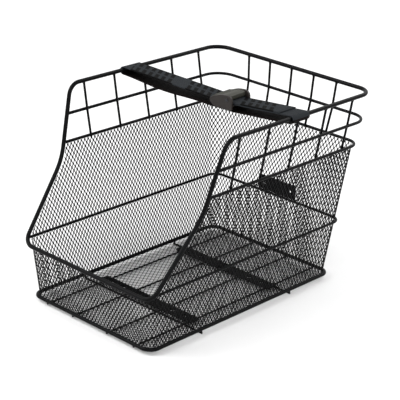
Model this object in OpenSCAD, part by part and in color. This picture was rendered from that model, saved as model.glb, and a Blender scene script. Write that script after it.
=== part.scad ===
// Wire basket for a bicycle's rear rack, with a low front and a webbing strap across the top.
// Millimetres. +Z is up, the low front faces -Y, and the origin is at the bottom centre.

/* [Base] */
// Width of the bottom rim, between wire centres
base_w = 233; // [200:1:260]
// Length of the bottom rim, between wire centres
base_l = 371; // [320:1:420]
// How far the middle of the base sits ahead of the middle of the basket
base_ahead = 10; // [0:1:20]
// Corner radius of the bottom rim, at the wire centre
base_corner = 15; // [12:1:24]

/* [Walls] */
// How far each wall flares outwards from the bottom rim to the mesh rail
flare = 22; // [0:1:40]
// How much the walls' corner radius grows from the bottom rim to the mesh rail
corner_growth = 6; // [0:1:20]
// Height of the front bar above the bottom rim
front_bar_rise = 77.5; // [50:0.5:100]
// Height of the belt wire above the bottom rim
belt_rise = 84.5; // [50:0.5:120]
// Height of the mesh rail above the bottom rim
mesh_rail_rise = 203; // [150:1:240]
// Height of the middle rail above the bottom rim
middle_rail_rise = 241; // [190:1:270]
// Height of the top rim above the bottom rim
top_rim_rise = 282; // [230:1:320]
// Width of the middle rail, between wire centres
middle_rail_w = 291; // [270:1:310]
// Width of the top rim, between wire centres
top_rim_w = 298; // [270:1:320]
// Distance from the origin back to the rear of the middle rail
middle_rail_rear = 204.5; // [195:0.5:210]
// Distance from the origin back to the rear of the top rim
top_rim_rear = 203.5; // [195:0.5:210]
// Distance from the origin forward to the knee where each riser meets its diagonal
knee_front = 126; // [110:1:140]
// Height of that knee above the bottom rim
knee_rise = 180; // [150:1:200]
// Distance from the origin forward to the top of each riser
riser_front = 99; // [80:1:118]

/* [Wires] */
// Diameter of the top rim wire
top_rim_d = 6; // [4:0.5:8]
// Diameter of the bottom rim wire
bottom_rim_d = 5.5; // [4:0.5:8]
// Diameter of the middle rail and the mesh rail
rail_d = 4.5; // [3:0.5:6]
// Diameter of the belt wire
belt_d = 4; // [3:0.5:6]
// Diameter of the uprights
upright_d = 3.5; // [2.5:0.5:5]
// Diameter of the wires under the floor
floor_wire_d = 2.8; // [2.4:0.1:4]
// Depth to which welded wires bite into each other
weld = 0.1; // [0.05:0.05:0.2]
// Depth to which the wires under the floor bite into each other and into the bottom rim
floor_weld = 0.4; // [0.1:0.1:0.4]
// Thickness of the mesh sheet
mesh_t = 0.8; // [0.6:0.1:1.5]

/* [Uprights] */
// Uprights in each side wall, and in the rear wall
upright_count = 5; // [5:1:5]
// Distance between neighbouring uprights in a side wall
side_pitch = 58.2; // [50:0.1:60]
// Position along Y of the foremost side upright
side_first = -74.5; // [-80:0.5:-70]
// Distance between neighbouring uprights in the rear wall
rear_pitch = 42; // [36:0.5:46]

/* [Rack fixing] */
// Width of each mounting strip under the floor
strip_w = 20; // [16:1:26]
// Length of each mounting strip, across the basket
strip_l = 186; // [180:1:200]
// Thickness of each mounting strip
strip_t = 1.8; // [1.5:0.1:2.5]
// Distance between the two strips, along the basket
strip_spacing = 160; // [140:1:180]
// Position along Y of the middle between the two strips
strip_mid_y = -5; // [-10:1:0]
// Distance between the outer two bolt holes in a strip
outer_bolts = 144; // [136:1:152]
// Distance between the inner two bolt holes in a strip
inner_bolts = 98; // [90:1:106]
// Diameter of each bolt hole
bolt_hole_d = 6.6; // [5:0.1:9]
// Distance from the strip's middle out to its cross wire
cross_wire_gap = 12; // [12:1:16]
// Distance from the centre line to the inner and the outer lengthwise floor wires
floor_wire_x = [34, 86];

/* [Reflector plate] */
// Width of the reflector plate
plate_w = 72; // [66:1:90]
// Height of the reflector plate
plate_h = 22.5; // [18:0.5:30]
// Thickness of the reflector plate
plate_t = 1.5; // [1:0.1:2]
// Distance between the plate's two holes
plate_holes = 50; // [50:1:56]
// Diameter of the plate's holes
plate_hole_d = 5.5; // [4:0.1:6.5]

/* [Strap] */
// Width of the webbing, along the rims
strap_w = 34; // [30:1:38]
// Thickness of the webbing
strap_t = 1.5; // [1:0.1:1.8]
// Position along Y of the strap at the left rim
strap_left = 19; // [14:0.5:19.5]
// Position along Y of the strap at the right rim
strap_right = 40; // [36:0.5:44]
// How far the buckle hangs below the strap's ends
strap_sag = 7; // [2:0.5:8]
// Length of the free tail past the buckle
tail_l = 78; // [40:1:80]

/* [Buckle] */
// Distance along the strap from the basket's middle to the buckle's thin end
buckle_start = 14; // [0:1:20]
// Length of the buckle
buckle_l = 39; // [36:1:56]
// Thickness of each buckle cheek
cheek_t = 3.6; // [3:0.1:5]
// Diameter of the lever's pin
pin_d = 3; // [2.5:0.5:3.5]
// Number of gripping teeth under the lever
teeth = 5; // [3:1:6]

/* [Hidden] */
$fn = 32;

// Radii of the wires
top_rim_r = top_rim_d / 2;
bottom_rim_r = bottom_rim_d / 2;
rail_r = rail_d / 2;
belt_r = belt_d / 2;
upright_r = upright_d / 2;
floor_wire_r = floor_wire_d / 2;

// Heights of the wire centres: the cross wires stand on the ground, and the rest is stacked on them
cross_z = floor_wire_r;
floor_wire_z = cross_z + 2 * floor_wire_r - floor_weld;
rim_z = floor_wire_z + floor_wire_r + bottom_rim_r - floor_weld;
front_bar_z = rim_z + front_bar_rise;
belt_z = rim_z + belt_rise;
mesh_rail_z = rim_z + mesh_rail_rise;
middle_rail_z = rim_z + middle_rail_rise;
knee_z = rim_z + knee_rise;
top_rim_z = rim_z + top_rim_rise;

// The walls' outer skin is a rounded rectangle that grows evenly with height
lean = flare / mesh_rail_rise;
skin_x0 = base_w / 2 - bottom_rim_r;
skin_front0 = base_l / 2 + base_ahead - bottom_rim_r;
skin_rear0 = base_l / 2 - base_ahead - bottom_rim_r;
skin_corner0 = base_corner - bottom_rim_r;
function grown(z) = lean * (z - rim_z);

// The skin's corner radius and the corners' centres at height z
function skin_corner(z) = skin_corner0 + corner_growth / mesh_rail_rise * (z - rim_z);
function corner_x(z) = skin_x0 + grown(z) - skin_corner(z);
function corner_front(z) = -(skin_front0 + grown(z) - skin_corner(z));
function corner_rear(z) = skin_rear0 + grown(z) - skin_corner(z);

// Bend radii of the wires
rail_bend = skin_corner(mesh_rail_z) + rail_r;
belt_bend = skin_corner(belt_z) + belt_r;
middle_bend = 29;
top_bend = 25;
riser_bend = 20;
knee_bend = 95;
front_bend = skin_corner(front_bar_z) + top_rim_r;
upright_bend = 6;

// How far behind the riser's or the diagonal's centre line each rail ends, biting into that wire
middle_rail_butt = 3.1;
mesh_rail_butt = 3.2;
belt_butt = 4.7;

// Facets of the wires that bend out of one plane
bend_step = 12;
rim_sides = 16;
upright_sides = 12;
corner_steps = 6;

// Mesh: a sheet just inside the wires, ending a little below each rail's centre
gap = 0.05;
mesh_tuck = 1.5;
floor_mesh_z = floor_wire_z + floor_wire_r + strip_t;
mesh_foot_z = floor_mesh_z + mesh_t + gap;

// Uprights lean a little to the rear at their feet, and bend where they cross the middle rail
upright_inset = rail_r + upright_r - weld;
upright_top_inset = 1;
upright_foot_drop = 1;
upright_shift = 2;
rear_fan = 0.93;

// Rack fixing
strip_y = [strip_mid_y - strip_spacing / 2, strip_mid_y + strip_spacing / 2];
strip_z = floor_wire_z + floor_wire_r - gap;
mesh_hole_d = bolt_hole_d + 3;

// Strap: it runs from rim to rim at a slant, looped round both, and hangs lowest at the buckle
buckle_end = buckle_start + buckle_l;
strap_slant = (strap_right - strap_left) / top_rim_w;
strap_angle = atan(strap_slant);
strap_mid_y = (strap_left + strap_right) / 2;
strap_top_z = top_rim_z + top_rim_r + 0.4 + strap_t / 2;
strap_loop_r = 5.25;
strap_low_z = strap_top_z - 2 * strap_loop_r;
flat_start = buckle_start - 2;
flat_end = buckle_end + 2;
strap_steps = 12;
tail_lift = strap_t + 0.15;

// Buckle: measured along the strap from the basket's middle
buckle_z = strap_top_z - strap_sag;
buckle_in_w = strap_w * cos(strap_angle) + 0.8;
buckle_out_w = buckle_in_w + 2 * cheek_t;
buckle_low_z = strap_low_z - strap_sag + strap_t / 2 + 0.6;
buckle_bed_z = buckle_z - strap_t / 2 - gap;
buckle_bed_t = 3;
pin_x = buckle_end - 9;
knuckle_r = 2.6;
pin_z = buckle_z + strap_t / 2 + tail_lift + knuckle_r + 0.3;
lever_rise = 5.2;
lever_side_gap = 0.4;

// Looks
wire_colour = [0.09, 0.09, 0.1];
strip_colour = [0.12, 0.12, 0.13];
mesh_colour = [0.16, 0.16, 0.17];
webbing_colour = [0.13, 0.13, 0.14];
buckle_colour = [0.2, 0.17, 0.15];
lever_colour = [0.32, 0.32, 0.27];
pin_colour = [0.4, 0.4, 0.42];

// ---- Wires ----

function unit(v) = v / norm(v);
function turn(a, b, c) = acos(unit(b - a) * unit(c - b));
function setback(a, b, c, bend) = bend * tan(turn(a, b, c) / 2);

// A straight wire from p to q
module straight(p, q, r) {
    v = q - p;
    translate(p)
        rotate([0, acos(v[2] / norm(v)), atan2(v[1], v[0])])
            cylinder(h = norm(v), r = r);
}

// The bend at b in a wire that comes from a and goes on to c
module bend_at(a, b, c, bend, r) {
    into = unit(b - a);
    out = unit(c - b);
    side = unit(out - into * (out * into));
    up = cross(into, side);
    centre = b - into * setback(a, b, c, bend) + side * bend;
    multmatrix([
        [-side[0], into[0], up[0], centre[0]],
        [-side[1], into[1], up[1], centre[1]],
        [-side[2], into[2], up[2], centre[2]],
        [0, 0, 0, 1],
    ])
        rotate_extrude(angle = turn(a, b, c))
            translate([bend, 0])
                circle(r);
}

// An open wire through points, with bends[i] the bend radius at points[i + 1]
module wire(points, bends, r) {
    last = len(points) - 1;
    for (i = [0 : last - 1]) {
        p = points[i];
        q = points[i + 1];
        cut_p = i == 0 ? 0 : setback(points[i - 1], p, q, bends[i - 1]);
        cut_q = i == last - 1 ? 0 : setback(p, q, points[i + 2], bends[i]);
        straight(p + unit(q - p) * cut_p, q - unit(q - p) * cut_q, r);
    }
    for (i = [1 : last - 1])
        bend_at(points[i - 1], points[i], points[i + 1], bends[i - 1], r);
}

// A closed wire through points, all with the same bend radius
module wire_ring(points, bend, r) {
    n = len(points);
    for (i = [0 : n - 1]) {
        p = points[i];
        q = points[(i + 1) % n];
        before = points[(i + n - 1) % n];
        after = points[(i + 2) % n];
        cut_p = setback(before, p, q, bend);
        cut_q = setback(p, q, after, bend);
        straight(p + unit(q - p) * cut_p, q - unit(q - p) * cut_q, r);
        bend_at(before, p, q, bend, r);
    }
}

// The points round a bend at b, a step every bend_step degrees
function bend_points(a, b, c, bend) =
    let (into = unit(b - a),
         out = unit(c - b),
         side = unit(out - into * (out * into)),
         centre = b - into * setback(a, b, c, bend) + side * bend,
         angle = turn(a, b, c),
         steps = max(2, ceil(angle / bend_step)))
    [
        for (i = [0 : steps])
            centre - side * bend * cos(angle * i / steps) + into * bend * sin(angle * i / steps)
    ];

// A round wire swept along path, whose sides face away from the basket's upright centre line
module swept(path, r, closed, sides) {
    n = len(path);
    centre = [0, 0, mesh_rail_z];
    rings = [
        for (i = [0 : n - 1])
            let (before = closed ? path[(i + n - 1) % n] : path[max(i - 1, 0)],
                 after = closed ? path[(i + 1) % n] : path[min(i + 1, n - 1)],
                 t = unit(after - before),
                 away = path[i] - centre,
                 u = unit(away - t * (away * t)),
                 v = cross(t, u))
            for (k = [0 : sides - 1])
                path[i] + r * (u * cos(360 * k / sides) + v * sin(360 * k / sides))
    ];
    walls = [
        for (i = [0 : closed ? n - 1 : n - 2], k = [0 : sides - 1])
            let (j = (i + 1) % n, m = (k + 1) % sides)
            [sides * i + m, sides * i + k, sides * j + k, sides * j + m]
    ];
    caps = closed ? [] : [
        [for (k = [0 : sides - 1]) k],
        [for (k = [sides - 1 : -1 : 0]) sides * (n - 1) + k],
    ];
    polyhedron(rings, concat(walls, caps));
}

function mirror_x(p) = [-p[0], p[1], p[2]];

// Where a wire of radius r lies against the walls' skin at height z
function side_x(z, r) = skin_x0 + grown(z) + r;
function front_y(z, r) = -(skin_front0 + grown(z) + r);
function rear_y(z, r) = skin_rear0 + grown(z) + r;

module bottom_rim() {
    x = base_w / 2;
    front = front_y(rim_z, bottom_rim_r);
    rear = rear_y(rim_z, bottom_rim_r);
    corners = [[-x, front, rim_z], [x, front, rim_z], [x, rear, rim_z], [-x, rear, rim_z]];
    color(wire_colour)
        wire_ring(corners, base_corner, bottom_rim_r);
}

// Corners of the right half of the top rim's saddle shape
front_foot = [side_x(front_bar_z, top_rim_r), front_y(front_bar_z, top_rim_r), front_bar_z];
knee = [side_x(knee_z, top_rim_r), -knee_front, knee_z];
riser_top = [top_rim_w / 2, -riser_front, top_rim_z];
rear_top = [top_rim_w / 2, top_rim_rear, top_rim_z];

module top_rim() {
    right = [front_foot, knee, riser_top, rear_top];
    bends = [front_bend, knee_bend, riser_bend, top_bend];
    corners = concat(right, [for (i = [3 : -1 : 0]) mirror_x(right[i])]);
    n = len(corners);
    path = [
        for (i = [0 : n - 1])
            each bend_points(corners[(i + n - 1) % n], corners[i], corners[(i + 1) % n], bends[min(i, n - 1 - i)])
    ];
    color(wire_colour)
        swept(path, top_rim_r, true, rim_sides);
}

// Straights and bends only meet exactly if their sizes are round numbers
function rounded(v) = round(v * 100) / 100;

// A U-shaped rail at height z, from one front end round the rear to the other
module u_rail(front, x, rear, z, bend, r) {
    side = rounded(x);
    start = rounded(front);
    back = rounded(rear);
    points = [[side, start, z], [side, back, z], [-side, back, z], [-side, start, z]];
    wire(points, [rounded(bend), rounded(bend)], r);
}

// Where the riser or the diagonal passes height z, as a fraction of its length
function along(p, q, z) = p + (q - p) * (z - p[2]) / (q[2] - p[2]);

module middle_rail() {
    riser = along(knee, riser_top, middle_rail_z);
    color(wire_colour)
        u_rail(riser[1] + middle_rail_butt, middle_rail_w / 2, middle_rail_rear, middle_rail_z, middle_bend, rail_r);
}

module mesh_rail() {
    x = side_x(mesh_rail_z, rail_r);
    rear = rear_y(mesh_rail_z, rail_r);
    riser = along(knee, riser_top, mesh_rail_z);
    color(wire_colour)
        u_rail(riser[1] + mesh_rail_butt, x, rear, mesh_rail_z, rail_bend, rail_r);
}

module belt_wire() {
    x = side_x(belt_z, belt_r);
    rear = rear_y(belt_z, belt_r);
    diagonal = along(front_foot, knee, belt_z);
    color(wire_colour)
        u_rail(diagonal[1] + belt_butt, x, rear, belt_z, belt_bend, belt_r);
}

// ---- Uprights ----

// An upright stands inside the rails and reaches up under the top rim
module upright(foot, waist, top) {
    path = concat([foot], bend_points(foot, waist, top, upright_bend), [top]);
    color(wire_colour)
        swept(path, upright_r, false, upright_sides);
}

upright_foot_z = mesh_rail_z - upright_foot_drop;
upright_top_z = top_rim_z - top_rim_r + weld;

module side_upright(side, i) {
    y = side_first + side_pitch * (i - 1);
    foot_x = side_x(mesh_rail_z, rail_r) - upright_inset;
    waist_x = middle_rail_w / 2 - upright_inset;
    top_x = top_rim_w / 2 - upright_top_inset;
    upright(
        [side * foot_x, y + upright_shift, upright_foot_z],
        [side * waist_x, y + upright_shift / 2, middle_rail_z],
        [side * top_x, y, upright_top_z]
    );
}

module rear_upright(i) {
    x = rear_pitch * (i - (upright_count + 1) / 2);
    foot_y = rear_y(mesh_rail_z, rail_r) - upright_inset;
    waist_y = middle_rail_rear - upright_inset;
    top_y = top_rim_rear - upright_top_inset;
    upright(
        [x * rear_fan, foot_y, upright_foot_z],
        [x * (1 + rear_fan) / 2, waist_y, middle_rail_z],
        [x, top_y, upright_top_z]
    );
}

// ---- Floor ----

// How far the wires under the floor reach past the bottom rim's centre line
floor_nib = 1;

// Lengthwise wires run under the bottom rim and end just outside it
module floor_wire(x) {
    front = front_y(rim_z, bottom_rim_r) - floor_nib;
    rear = rear_y(rim_z, bottom_rim_r) + floor_nib;
    color(wire_colour)
        straight([x, front, floor_wire_z], [x, rear, floor_wire_z], floor_wire_r);
}

// Cross wires lie lowest, and their ends show under the bottom rim
module cross_wire(y) {
    half = base_w / 2 + floor_nib;
    color(wire_colour)
        straight([-half, y, cross_z], [half, y, cross_z], floor_wire_r);
}

// The four places along a strip where a bolt can go through
bolt_x = [-outer_bolts / 2, -inner_bolts / 2, inner_bolts / 2, outer_bolts / 2];

module mount_strip(y) {
    corner = 4;
    color(strip_colour)
        translate([0, y, strip_z])
            difference() {
                union() {
                    translate([-strip_l / 2, -strip_w / 2 + corner, 0])
                        cube([strip_l, strip_w - 2 * corner, strip_t]);
                    translate([-strip_l / 2 + corner, -strip_w / 2, 0])
                        cube([strip_l - 2 * corner, strip_w, strip_t]);
                    for (sx = [-1, 1], sy = [-1, 1])
                        translate([sx * (strip_l / 2 - corner), sy * (strip_w / 2 - corner), 0])
                            cylinder(h = strip_t, r = corner);
                }
                for (x = bolt_x)
                    translate([x, 0, -1])
                        cylinder(h = strip_t + 2, d = bolt_hole_d);
            }
}

// ---- Mesh sheets ----

// A point of a wall's sheet, in a frame whose +X faces out of the wall: turned is the angle round
// the corner at centre, and inset is how far in from the skin
function sheet_point(centre, turned, z, inset) =
    let (r = skin_corner(z) - gap - inset)
    [centre[0] + r * cos(turned), centre[1] + r * sin(turned), z];

// A wall that faces +X between two heights, with half of the corner at each end. near(z) and far(z)
// give the two corners' centres
module wall(near, far, z_low, z_high) {
    half = 45;
    angles = [for (i = [0 : corner_steps]) half * i / corner_steps];
    stations = concat(
        [for (i = [corner_steps : -1 : 0]) [near, -angles[i]]],
        [for (a = angles) [far, a]]
    );
    n = len(stations);
    points = [
        for (s = stations, p = [[z_low, 0], [z_high, 0], [z_high, mesh_t], [z_low, mesh_t]])
            sheet_point(s[0](p[0]), s[1], p[0], p[1])
    ];
    strips = [
        for (i = [0 : n - 2], k = [0 : 3])
            [4 * i + (k + 1) % 4, 4 * i + k, 4 * (i + 1) + k, 4 * (i + 1) + (k + 1) % 4]
    ];
    polyhedron(points, concat([[0, 1, 2, 3]], strips, [[for (k = [3 : -1 : 0]) 4 * (n - 1) + k]]));
}

// Everything in front of the diagonal and the riser, less the tuck that stays under the wires
module above_diagonal() {
    reach = 100;
    slope = unit([knee[1] - front_foot[1], knee[2] - front_foot[2]]);
    low = [front_foot[1], front_foot[2]] - slope * reach + [slope[1], -slope[0]] * mesh_tuck;
    high = [riser_top[1] + mesh_tuck, riser_top[2]];
    rotate([90, 0, 90])
        linear_extrude(base_w)
            polygon([[low[0], high[1]], low, [knee[1], knee[2]], high]);
}

mesh_top_z = mesh_rail_z - mesh_tuck;

module side_mesh() {
    difference() {
        wall(
            function(z) [corner_x(z), corner_front(z)],
            function(z) [corner_x(z), corner_rear(z)],
            mesh_foot_z, mesh_top_z
        );
        above_diagonal();
    }
}

module right_mesh() {
    color(mesh_colour)
        side_mesh();
}

module left_mesh() {
    color(mesh_colour)
        mirror([1, 0, 0])
            side_mesh();
}

module rear_mesh() {
    color(mesh_colour)
        rotate([0, 0, 90])
            wall(
                function(z) [corner_rear(z), -corner_x(z)],
                function(z) [corner_rear(z), corner_x(z)],
                mesh_foot_z, mesh_top_z
            );
}

module front_mesh() {
    color(mesh_colour)
        rotate([0, 0, -90])
            wall(
                function(z) [-corner_front(z), -corner_x(z)],
                function(z) [-corner_front(z), corner_x(z)],
                mesh_foot_z, front_bar_z - mesh_tuck
            );
}

module floor_mesh() {
    r = skin_corner0 - gap;
    x = corner_x(rim_z);
    front = corner_front(rim_z);
    rear = corner_rear(rim_z);
    color(mesh_colour)
        translate([0, 0, floor_mesh_z])
            difference() {
                union() {
                    translate([-x - r, front, 0])
                        cube([2 * (x + r), rear - front, mesh_t]);
                    translate([-x, front - r, 0])
                        cube([2 * x, rear - front + 2 * r, mesh_t]);
                    for (cx = [-x, x], cy = [front, rear])
                        translate([cx, cy, 0])
                            cylinder(h = mesh_t, r = r);
                }
                for (bx = bolt_x, by = strip_y)
                    translate([bx, by, -1])
                        cylinder(h = mesh_t + 2, d = mesh_hole_d);
            }
}

// ---- Reflector plate ----

// It stands upright on the belt wire, and its top edge leans on the rear mesh
module reflector_plate() {
    low = belt_z + belt_r;
    y = rear_y(low + plate_h, gap);
    color(strip_colour)
        translate([0, y + plate_t, low])
            rotate([90, 0, 0])
                linear_extrude(plate_t)
                    difference() {
                        translate([-plate_w / 2, 0])
                            square([plate_w, plate_h]);
                        for (s = [-1, 1])
                            translate([s * plate_holes / 2, plate_h / 2])
                                circle(d = plate_hole_d);
                    }
}

// ---- Strap ----

// The webbing's middle line in side view: from the buckle's bar to the right, round the rims, and
// back under the lever to the free tail
strap_bar_x = buckle_end - 3;
function arc_points(x, start, sweep) = [
    for (i = [0 : strap_steps])
        [x + strap_loop_r * cos(start + sweep * i / strap_steps),
         strap_top_z - strap_loop_r + strap_loop_r * sin(start + sweep * i / strap_steps)]
];
tail_rise = strap_sag * (buckle_end + tail_l - flat_end) / (top_rim_w / 2 - flat_end);
strap_path = concat(
    [[strap_bar_x, buckle_z], [flat_end, buckle_z]],
    arc_points(top_rim_w / 2, 90, -180),
    [[flat_end, strap_low_z - strap_sag], [flat_start, strap_low_z - strap_sag]],
    arc_points(-top_rim_w / 2, -90, -180),
    [[flat_start, buckle_z],
     [strap_bar_x - 16, buckle_z],
     [strap_bar_x - 7, buckle_z + tail_lift],
     [flat_end, buckle_z + tail_lift],
     [buckle_end + tail_l, buckle_z + tail_lift + tail_rise]]
);

// The direction square to the path at point i
function path_normal(i) =
    let (last = len(strap_path) - 1,
         along_path = strap_path[min(i + 1, last)] - strap_path[max(i - 1, 0)],
         flat = unit(along_path))
    [-flat[1], flat[0]];

// A corner of the webbing's section: t across its thickness and s across its width
function web_point(i, t, s) =
    let (p = strap_path[i] + path_normal(i) * t * strap_t / 2)
    [p[0], strap_mid_y + strap_slant * p[0] + s * strap_w / 2, p[1]];

// The middle right upright passes through a slit in the webbing's loop, with room for the strap to slide
slit_y = side_first + 2 * side_pitch;
slit_w = 2 * upright_r + 6.8;
slit_l = 9;
slit_x = top_rim_w / 2 - 1;

module slit() {
    translate([slit_x - slit_l / 2, slit_y - slit_w / 2, strap_low_z - strap_t])
        cube([slit_l, slit_w, strap_loop_r]);
}

module strap_webbing() {
    n = len(strap_path);
    points = [
        for (i = [0 : n - 1], c = [[-1, -1], [1, -1], [1, 1], [-1, 1]])
            web_point(i, c[0], c[1])
    ];
    sides = [
        for (i = [0 : n - 2], k = [0 : 3])
            [4 * i + k, 4 * i + (k + 1) % 4, 4 * (i + 1) + (k + 1) % 4, 4 * (i + 1) + k]
    ];
    color(webbing_colour)
        difference() {
            polyhedron(points, concat([[3, 2, 1, 0]], sides, [[for (k = [0 : 3]) 4 * (n - 1) + k]]));
            slit();
        }
}

// ---- Buckle ----

// Puts a piece that is drawn along the strap, with z as height, into place
module on_strap() {
    translate([0, strap_mid_y, 0])
        rotate([0, 0, strap_angle])
            children();
}

// A side view polygon, given as [along, height], made w wide about the strap's middle
module across(w, middle) {
    translate([0, middle + w / 2, 0])
        rotate([90, 0, 0])
            linear_extrude(w)
                children();
}

// Puts a cylinder that is drawn along Z onto the pin's axis
module on_pin_axis() {
    translate([pin_x, 0, pin_z])
        rotate([90, 0, 0])
            children();
}

cheek_top_z = pin_z + lever_rise + 0.6;

// One cheek in side view: a wedge that is high over the pin
module cheek_shape() {
    difference() {
        polygon([
            [buckle_start, buckle_bed_z - buckle_bed_t],
            [buckle_start, buckle_z + 2.5],
            [buckle_start + 3, buckle_z + 3.5],
            [pin_x, cheek_top_z],
            [buckle_end - 4, cheek_top_z - 1],
            [buckle_end, pin_z - 1],
            [buckle_end, buckle_low_z + 2],
            [buckle_end - 2, buckle_low_z],
            [buckle_start + 8, buckle_low_z],
        ]);
        translate([pin_x, pin_z])
            circle(d = pin_d);
    }
}

module buckle_body() {
    color(buckle_colour)
        on_strap() {
            for (s = [-1, 1])
                across(cheek_t, s * (buckle_in_w + cheek_t) / 2)
                    cheek_shape();
            across(buckle_in_w + 1, 0)
                polygon([
                    [buckle_start, buckle_bed_z - buckle_bed_t],
                    [buckle_start, buckle_bed_z],
                    [buckle_end, buckle_bed_z],
                    [buckle_end, buckle_bed_z - buckle_bed_t],
                ]);
        }
}

lever_low_z = buckle_z + strap_t / 2 + tail_lift + 0.3;
lever_w = buckle_in_w - 2 * lever_side_gap;

// The lever's wedge in side view, with teeth underneath
module lever_shape() {
    polygon([
        [buckle_start + 1, lever_low_z],
        [buckle_start + 1, lever_low_z + 1.6],
        [buckle_start + 4, lever_low_z + 2.4],
        [pin_x, pin_z + lever_rise],
        [pin_x + 2, pin_z + lever_rise - 1],
        [pin_x + knuckle_r - 0.2, pin_z - 1],
        [pin_x, lever_low_z + 0.1],
        for (i = [1 : teeth]) each [
            [pin_x - 1 - 2 * i, lever_low_z],
            [pin_x - 2 - 2 * i, lever_low_z + 0.8],
        ],
    ]);
}

module buckle_lever() {
    color(lever_colour)
        on_strap()
            difference() {
                union() {
                    across(lever_w, 0)
                        lever_shape();
                    on_pin_axis()
                        cylinder(h = lever_w, r = knuckle_r, center = true);
                }
                on_pin_axis()
                    cylinder(h = lever_w + 2, d = pin_d + 0.1, center = true);
            }
}

module buckle_pin() {
    head = 0.8;
    color(pin_colour)
        on_strap()
            on_pin_axis() {
                cylinder(h = buckle_out_w + head, d = pin_d, center = true);
                for (s = [-1, 1])
                    translate([0, 0, s * (buckle_out_w + head) / 2])
                        cylinder(h = head, d = pin_d + 1.6, center = true);
            }
}

bottom_rim();
top_rim();
middle_rail();
mesh_rail();
belt_wire();
side_upright(-1, 1);  // left_upright_1
side_upright(-1, 2);  // left_upright_2
side_upright(-1, 3);  // left_upright_3
side_upright(-1, 4);  // left_upright_4
side_upright(-1, 5);  // left_upright_5
side_upright(1, 1);  // right_upright_1
side_upright(1, 2);  // right_upright_2
side_upright(1, 3);  // right_upright_3
side_upright(1, 4);  // right_upright_4
side_upright(1, 5);  // right_upright_5
rear_upright(1);  // rear_upright_1
rear_upright(2);  // rear_upright_2
rear_upright(3);  // rear_upright_3
rear_upright(4);  // rear_upright_4
rear_upright(5);  // rear_upright_5
floor_wire(-floor_wire_x[1]);  // floor_wire_1
floor_wire(-floor_wire_x[0]);  // floor_wire_2
floor_wire(floor_wire_x[0]);  // floor_wire_3
floor_wire(floor_wire_x[1]);  // floor_wire_4
cross_wire(strip_y[0] - cross_wire_gap);  // front_cross_wire
cross_wire(strip_y[1] + cross_wire_gap);  // rear_cross_wire
mount_strip(strip_y[0]);  // front_mount_strip
mount_strip(strip_y[1]);  // rear_mount_strip
floor_mesh();
front_mesh();
left_mesh();
right_mesh();
rear_mesh();
reflector_plate();
strap_webbing();
buckle_body();
buckle_lever();
buckle_pin();
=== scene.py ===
import math

import bmesh
import bpy
from mathutils import Matrix, Vector


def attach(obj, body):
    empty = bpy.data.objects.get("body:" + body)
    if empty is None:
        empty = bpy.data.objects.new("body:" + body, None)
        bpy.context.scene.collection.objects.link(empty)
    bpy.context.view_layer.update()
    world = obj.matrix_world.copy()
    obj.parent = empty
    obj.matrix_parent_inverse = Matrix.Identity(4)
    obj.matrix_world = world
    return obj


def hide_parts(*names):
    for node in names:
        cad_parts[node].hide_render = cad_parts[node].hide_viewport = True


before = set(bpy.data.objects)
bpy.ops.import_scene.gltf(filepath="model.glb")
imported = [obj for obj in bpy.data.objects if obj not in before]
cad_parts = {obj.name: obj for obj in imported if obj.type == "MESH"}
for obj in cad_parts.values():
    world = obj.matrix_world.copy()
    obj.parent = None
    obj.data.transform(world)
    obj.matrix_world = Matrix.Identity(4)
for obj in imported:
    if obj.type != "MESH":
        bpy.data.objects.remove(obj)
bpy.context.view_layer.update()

# Sizes are in millimetres until a mesh is made. They match the CAD frame.
MM = 0.001

# ---- The basket's own geometry ----

RIM_Z = 7.55
FRONT_BAR_Z = RIM_Z + 77.5
BELT_Z = RIM_Z + 84.5
KNEE_Z = RIM_Z + 180.0
MESH_RAIL_Z = RIM_Z + 203.0
MIDDLE_RAIL_Z = RIM_Z + 241.0
TOP_RIM_Z = RIM_Z + 282.0
LEAN = 22.0 / 203.0
CORNER_GROWTH = 6.0 / 203.0
BASE_CORNER = 15.0
SKIN_X0, SKIN_FRONT0, SKIN_REAR0 = 113.75, 192.75, 172.75
TOP_RIM_R, BOTTOM_RIM_R, RAIL_R, BELT_R, UPRIGHT_R, FLOOR_R = 3.0, 2.75, 2.25, 2.0, 1.75, 1.4
MIDDLE_RAIL_X, MIDDLE_RAIL_REAR = 145.5, 204.5
TOP_RIM_X, TOP_RIM_REAR = 149.0, 203.5
KNEE_FRONT, RISER_FRONT = 126.0, 99.0
KNEE_BEND, RISER_BEND, TOP_BEND, MIDDLE_BEND = 95.0, 20.0, 25.0, 29.0
CROSS_Z, FLOOR_WIRE_Z, FLOOR_MESH_Z = 1.4, 3.8, 7.0
CROSS_FRONT, CROSS_REAR = -97, 87
FLOOR_WIRE_X = (-86, -34, 34, 86)
# How far behind the top rim wire's middle line each rail's cut end lies
MIDDLE_BUTT, MESH_BUTT, BELT_BUTT = 3.1, 3.2, 4.7
SIDE_FIRST, SIDE_PITCH, REAR_PITCH = -74.5, 58.2, 42.0
UPRIGHTS = 5


def grown(z):
    """How much further out the leaning walls are at height z than at the bottom rim."""
    return LEAN * (z - RIM_Z)


def skin_corner(z):
    """The corner radius of the walls' outer skin at height z."""
    return BASE_CORNER - BOTTOM_RIM_R + CORNER_GROWTH * (z - RIM_Z)


def corner_x(z):
    """The middle of the corner's arc, across the basket. The next two give it lengthwise."""
    return SKIN_X0 + grown(z) - skin_corner(z)


def corner_front(z):
    return skin_corner(z) - SKIN_FRONT0 - grown(z)


def corner_rear(z):
    return SKIN_REAR0 + grown(z) - skin_corner(z)


def side_x(z, r):
    """Where the middle of a wire of radius r lies against the side wall at height z."""
    return SKIN_X0 + grown(z) + r


def front_y(z, r):
    return -(SKIN_FRONT0 + grown(z) + r)


def rear_y(z, r):
    return SKIN_REAR0 + grown(z) + r


# ---- Mesh helpers ----


def shade_smooth(mesh):
    mesh.polygons.foreach_set("use_smooth", [True] * len(mesh.polygons))


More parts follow.
